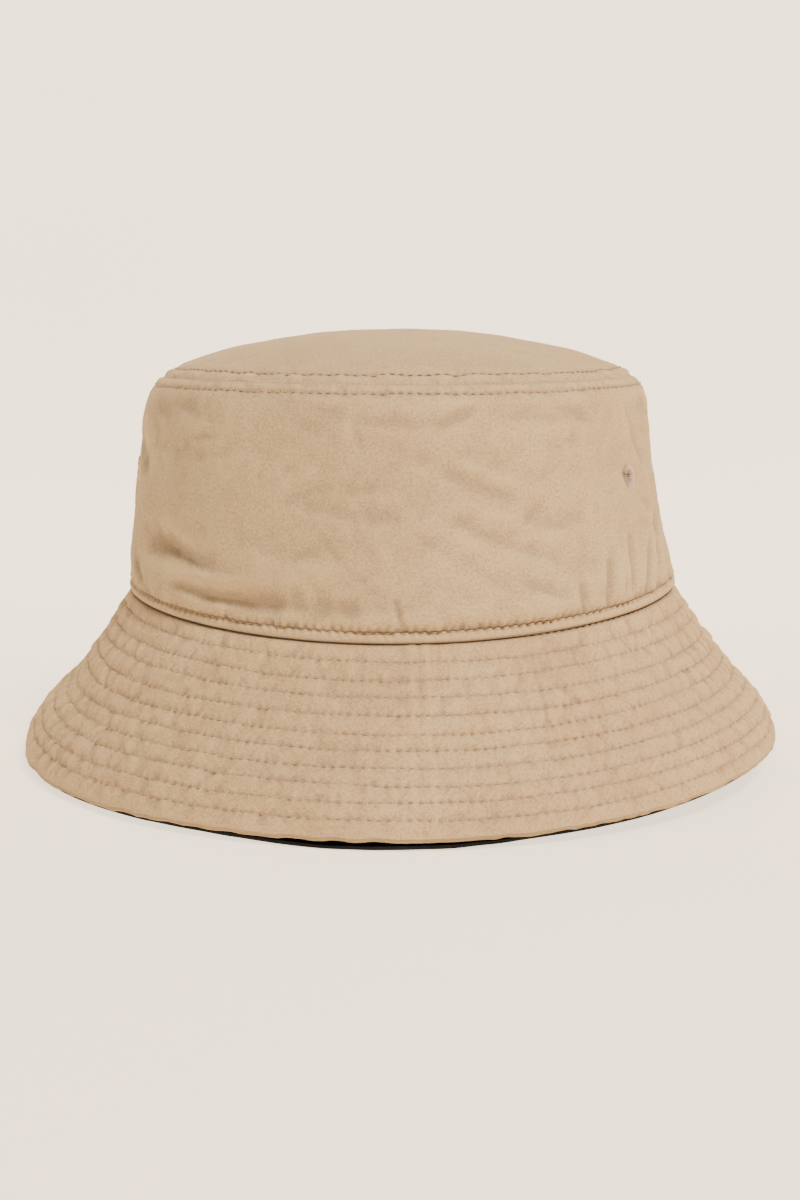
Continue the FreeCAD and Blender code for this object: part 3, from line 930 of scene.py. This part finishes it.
def with_hem(surface, side, reach):
    """Adds a rounded fold to the brim's edge. Depths past FOLD_START are degrees round the fold."""

    def folded(turn, depth):
        flat = depth < FOLD_START
        along = np.where(flat, depth, brim_length(turn) + reach(turn) - HEM_RADIUS)
        normal = outward_normal(brim_smooth, turn, along) * side
        down = unit(brim_smooth(turn, along + 0.3) - brim_smooth(turn, along - 0.3))
        angle = np.radians(np.where(flat, 0, depth - FOLD_START))[..., None]
        fold = down * np.sin(angle) * HEM_RADIUS - normal * (1 - np.cos(angle)) * HEM_RADIUS
        place = surface(turn, along) + np.where(flat[..., None], 0, fold)
        place[..., 2] = TABLE_GAP + TABLE_EASE * np.logaddexp(0, (place[..., 2] - TABLE_GAP) / TABLE_EASE)
        return place

    return folded


def brim_depths(turns, start, reach, step):
    end = (brim_length(turns) + reach(turns) - HEM_RADIUS)[:, None]
    share = np.linspace(0, 1, int(61.0 / step))[None, :]
    fold = np.repeat(FOLD_START + np.linspace(12, 178, 14)[None, :], len(turns), 0)
    return np.concatenate([start + (end - start) * share, fold], 1)


def tan_reach(turn):
    return 0.22 * noise(73, turn, 0, 130) + 0.16 * noise(74, turn, 0, 300)


def make_brim():
    # Node, surface, side, reach of the edge, steps round and down, first depth, painted shading
    cloths = (
        ("brim_upper", brim_top, 1, tan_reach, 0.68, 0.52, -1.2, brim_shading),
        ("brim_under", brim_under, -1, hem_drop, 0.95, 0.62, -0.5, brim_under_shading),
    )
    for side, start, look in (("right", BRIM_SEAM, BRIM_RIGHT), ("left", BRIM_SEAM - math.pi, BRIM_LEFT)):
        end = start + math.pi
        pattern = brim_pattern((start + end) / 2)
        for label, surface, up, reach, step, step_down, first, shade_marks in cloths:
            turns = between_turns(start, end, step, BRIM_EDGE_RADIUS)
            depths = brim_depths(turns, first, reach, step_down)
            folded = with_hem(surface, up, reach)
            piece = panel(f"{label}_{side}_cloth", folded, turns, depths, up > 0, pattern, shade_marks)
            finish_piece(piece, look if up > 0 else LINING, f"{label}_{side}")


def make_interlining():
    """A closed band between the two brims."""
    across = 13
    loop = 2 * across + 2
    turns = np.linspace(0, FULL, 361)[:-1]
    turn = np.repeat(turns[:, None], loop, 1)
    down = 2.0 + (brim_length(turns)[:, None] - 5.0) * np.linspace(0, 1, across)[None, :]
    depths = np.concatenate([down, down[:, -1:], down[:, ::-1], down[:, :1]], 1)
    sink = np.concatenate([np.full(across, 0.95), [1.25], np.full(across, 1.55), [1.25]])
    points = raised(brim_smooth, turn, depths, -sink[None, :])
    ring, step = np.arange(len(turns))[:, None] * loop, np.arange(loop)[None, :]
    next_ring, next_step = np.roll(ring, -1), np.roll(step, -1)
    faces = quads(ring + step, ring + next_step, next_ring + next_step, next_ring + step)
    finish_piece(new_piece("brim_interlining_band", points, faces), FELT, "brim_interlining")


make_crown()
make_tip()
make_brim()
make_interlining()


# ---- stitching

RINGS = 6  # along a sewn stitch
SIDES = 6
STITCH_SPACE = 0.34  # share of a stitch's length that is under the cloth


def tubes(name, centres, normals, radius):
    """Round stitches. centres and normals have a row of points for each stitch."""
    along = unit(np.gradient(centres, axis=1))
    across = unit(np.cross(along, normals))
    up = np.cross(across, along)
    share = np.linspace(0, 1, centres.shape[1])
    taper = radius * (0.55 + 0.45 * np.sin(np.pi * share) ** 0.5)
    angle = np.linspace(0, FULL, SIDES + 1)[:-1]
    ring = np.cos(angle)[:, None] * across[:, :, None, :] + np.sin(angle)[:, None] * up[:, :, None, :]
    points = centres[:, :, None, :] + ring * taper[None, :, None, None]
    count, rings = points.shape[:2]
    stitch = np.arange(count)[:, None, None] * rings * SIDES
    row = np.arange(rings - 1)[None, :, None] * SIDES
    side = np.arange(SIDES)[None, None, :]
    here, ahead = stitch + row + side, stitch + row + (side + 1) % SIDES
    walls = quads(here, ahead, ahead + SIDES, here + SIDES)
    caps = []
    last = rings - 1
    for end, order in ((0, (0, 3, 2, 1)), (0, (0, 5, 4, 3)), (last, (0, 1, 2, 3)), (last, (0, 3, 4, 5))):
        caps.append(stitch[:, :, 0] + end * SIDES + np.array(order)[None, :])
    faces = np.concatenate([walls, *caps])
    return new_piece(name, points, faces)


def sew(name, surface, smooth, turns, depths, side, look, cad):
    """Stitches along a row. turns and depths are rows of RINGS places, one row for each stitch."""
    share = np.linspace(0, 1, RINGS)[None, :, None]
    normals = outward_normal(smooth, turns, depths) * side
    lift = -0.30 + 0.62 * np.sin(np.pi * share) ** 0.6
    centres = surface(turns, depths) + normals * lift
    finish_piece(tubes(name, centres, normals, THREAD), look, cad)


def stitch_spans(start, end, length_per_unit):
    """Places of RINGS points in each stitch between two positions, a stitch length apart."""
    count = int((end - start) * length_per_unit / STITCH)
    length = (end - start) / count
    first = start + np.arange(count) * length
    inside = np.linspace(STITCH_SPACE / 2, 1 - STITCH_SPACE / 2, RINGS)
    return first[:, None] + length * inside[None, :]


def sew_brim():
    """The spiral on the brim, cut into its turns, and its bobbin thread on the under side."""
    whole = int(SPIRAL_TURNS)
    for number in range(whole):
        last = SPIRAL_TURNS if number == whole - 1 else number + 1.0
        around = FULL * (94 + 34 * float(spiral_share(np.array(number + 0.5))))
        places = stitch_spans(number, last, around)
        for label, surface, shift, side, look in (
            ("topstitch", brim_top, 0.0, 1, TAN_THREAD),
            ("bobbin", brim_under, STITCH / 2 / BRIM_RADIUS, -1, BLACK_THREAD),
        ):
            turns = SPIRAL_START + places * FULL + shift
            depths = spiral_share(places) * brim_length(turns)
            cad = f"brim_{label}_turn_{number + 1:02d}"
            sew(f"{cad}_thread", surface, brim_smooth, turns, depths, side, look, cad)


def sew_crown():
    """Rows at the base and beside the tip seam, on the outer and on the inner hat."""
    outer, inner = (wall_outside, wall_smooth, 1), (wall_inside, wall_smooth, -1)
    tip, tip_inner = (tip_outside, tip_smooth, 1), (tip_inside, tip_smooth, -1)
    # Piece, cloth, radius, depth, 1 where that is from the tip seam down, 1 where the row wavers, look, node
    for name, (surface, smooth, side), radius, depth, top, waver, look, cad in (
        ("base_topstitch_thread", outer, WALL_RADIUS, BAND_HEIGHT, 0, 0, PALE_THREAD, "base_topstitch"),
        ("base_bobbin_stitches", inner, LINING_RADIUS, BAND_HEIGHT, 0, 0, BLACK_THREAD, "base_bobbin_thread"),
        ("wall_topstitch_thread", outer, 84.0, -WALL_ROW, 1, 1, TAN_THREAD, "wall_topstitch"),
        ("tip_topstitch_thread", tip, 77.0, TIP_ROW, 0, 1, TAN_THREAD, "tip_topstitch"),
        ("lining_wall_thread", inner, 82.0, -6.6, 1, 1, BLACK_THREAD, "lining_wall_topstitch"),
        ("lining_tip_thread", tip_inner, 74.0, TIP_ROW, 0, 1, BLACK_THREAD, "lining_tip_topstitch"),
    ):
        turns = stitch_spans(0.0, FULL, radius)
        hand = 0.12 * np.sin(7 * turns + 1) + 0.1 * np.sin(17 * turns)
        depths = depth + top * wall_height(turns) + waver * hand
        sew(name, surface, smooth, turns, depths, side, look, cad)


sew_brim()
sew_crown()


# ---- eyelets


EYELET_STITCHES = 30
EYELET_THREAD_RADIUS = 0.26


def make_eyelet(label, turn):
    """Buttonhole stitches like spokes round a hole, from the outer wall down through it to the lining."""
    place = np.array([turn]), np.array([EYELET_HEIGHT])
    outer, inner = wall_outside(*place)[0], wall_inside(*place)[0]
    axis = outward_normal(wall_smooth, *place)[0]
    level = unit(np.cross([0, 0, 1.0], axis))
    rise = np.cross(axis, level)
    dice = np.random.default_rng(90 + len(label))
    count, hole = EYELET_STITCHES, EYELET_HOLE
    spokes = (np.arange(count) + dice.uniform(-0.2, 0.2, count)) / count * FULL
    reach = EYELET_RIM + dice.uniform(-0.25, 0.2, count)
    depth = float(np.dot(outer - inner, axis))
    steps = np.linspace(0, 1, 17)
    centres = np.zeros((count, len(steps), 3))
    normals = np.zeros_like(centres)
    for i, (angle, rim) in enumerate(zip(spokes, reach)):
        spoke = level * math.cos(angle) + rise * math.sin(angle)
        half = [(rim, 0.0), (rim - 0.35, 0.35), (hole + 0.9, 0.72), (hole + 0.35, 0.62), (hole + 0.1, 0.1)]
        path = np.array(half + [(out, -depth - up) for out, up in reversed(half)])
        length = np.concatenate([[0], np.cumsum(np.linalg.norm(np.diff(path, axis=0), axis=1))])
        out = np.interp(steps * length[-1], length, path[:, 0])
        up = np.interp(steps * length[-1], length, path[:, 1])
        centres[i] = outer + spoke * out[:, None] + axis * up[:, None]
        normals[i] = np.cross(spoke, axis)[None, :]
    piece = tubes(f"eyelet_{label}_stitches", centres, normals, EYELET_THREAD_RADIUS)
    finish_piece(piece, EYELET_THREAD, f"eyelet_{label}")


for eyelet_label, eyelet_turn in EYELET_TURNS.items():
    make_eyelet(eyelet_label, eyelet_turn)


# ---- floor, backdrop and light


STAGE_REAR = 0.9  # where the floor starts to curve up, in metres
STAGE_CURVE = 0.8


def make_stage():
    """A pale floor that curves up into a backdrop, as one sheet."""
    profile = [(y, 0.0) for y in (-1.6, -0.8, -0.3, 0.0, 0.3, 0.6, STAGE_REAR)]
    for angle in np.linspace(0, math.pi / 2, 13)[1:]:
        rise = STAGE_CURVE * (1 - math.cos(angle))
        profile.append((STAGE_REAR + STAGE_CURVE * math.sin(angle), rise))
    profile += [(STAGE_REAR + STAGE_CURVE, 1.6), (STAGE_REAR + STAGE_CURVE, 3.0)]
    across = np.linspace(-3.0, 3.0, 13)
    points = np.array([[(x, y, z) for x in across] for y, z in profile]) / MM
    piece = new_piece("stage_sweep", points, grid_faces(len(profile), len(across), True))
    material, tree, shader, place = new_material("stage_paper")
    mottle = ramp(tree, noise_node(tree, place, 3.0, 2.0, 0.5), 0.3, 0.7)
    colour = mix_colour(tree, mottle, (0.915, 0.770, 0.590), (0.935, 0.790, 0.610))
    matt = mix_colour(tree, 0.5, colour, (0.0, 0.0, 0.0))
    along = node(tree, "ShaderNodeSeparateXYZ", {0: place}).outputs["Y"]
    inputs = {"Value": along, "From Min": -0.15, "From Max": 0.45, "To Min": 2.15, "To Max": 2.85}
    glow = node(tree, "ShaderNodeMapRange", inputs, clamp=True, interpolation_type="SMOOTHSTEP").outputs[0]
    look = {"Base Color": matt, "Emission Color": colour, "Emission Strength": glow}
    look.update({"Roughness": 0.95, "Specular IOR Level": 0.1})
    fill(tree, shader, look)
    piece.data.materials.append(material)


AIM = Vector((0, 0, 0.06))  # what the lights point at


def make_light():
    world = bpy.data.worlds.new("studio")
    bpy.context.scene.world = world
    world.use_nodes = True
    sky = world.node_tree.nodes["Background"]
    fill(world.node_tree, sky, {"Color": (0.68, 0.83, 1.0), "Strength": 0.25})
    # Name, place and size in metres, power in watts, colour
    for name, place, size, power, colour in (
        ("key", (0.62, -0.86, 1.50), (0.46, 0.40), 51.0, (1.0, 0.893, 0.772)),
        ("fill", (-1.3, -0.9, 0.8), (0.8, 0.8), 0.8, (0.74, 0.85, 1.0)),
        ("top", (-0.35, 0.05, 1.8), (1.6, 1.6), 8.0, (1.0, 0.90, 0.78)),
    ):
        data = bpy.data.lights.new(name, "AREA")
        data.shape = "RECTANGLE"
        data.size, data.size_y = size
        data.energy = power
        data.color = colour
        light = bpy.data.objects.new(name, data)
        bpy.context.scene.collection.objects.link(light)
        light.location = place
        light.rotation_euler = (AIM - Vector(place)).to_track_quat("-Z", "Y").to_euler()


make_stage()
make_light()
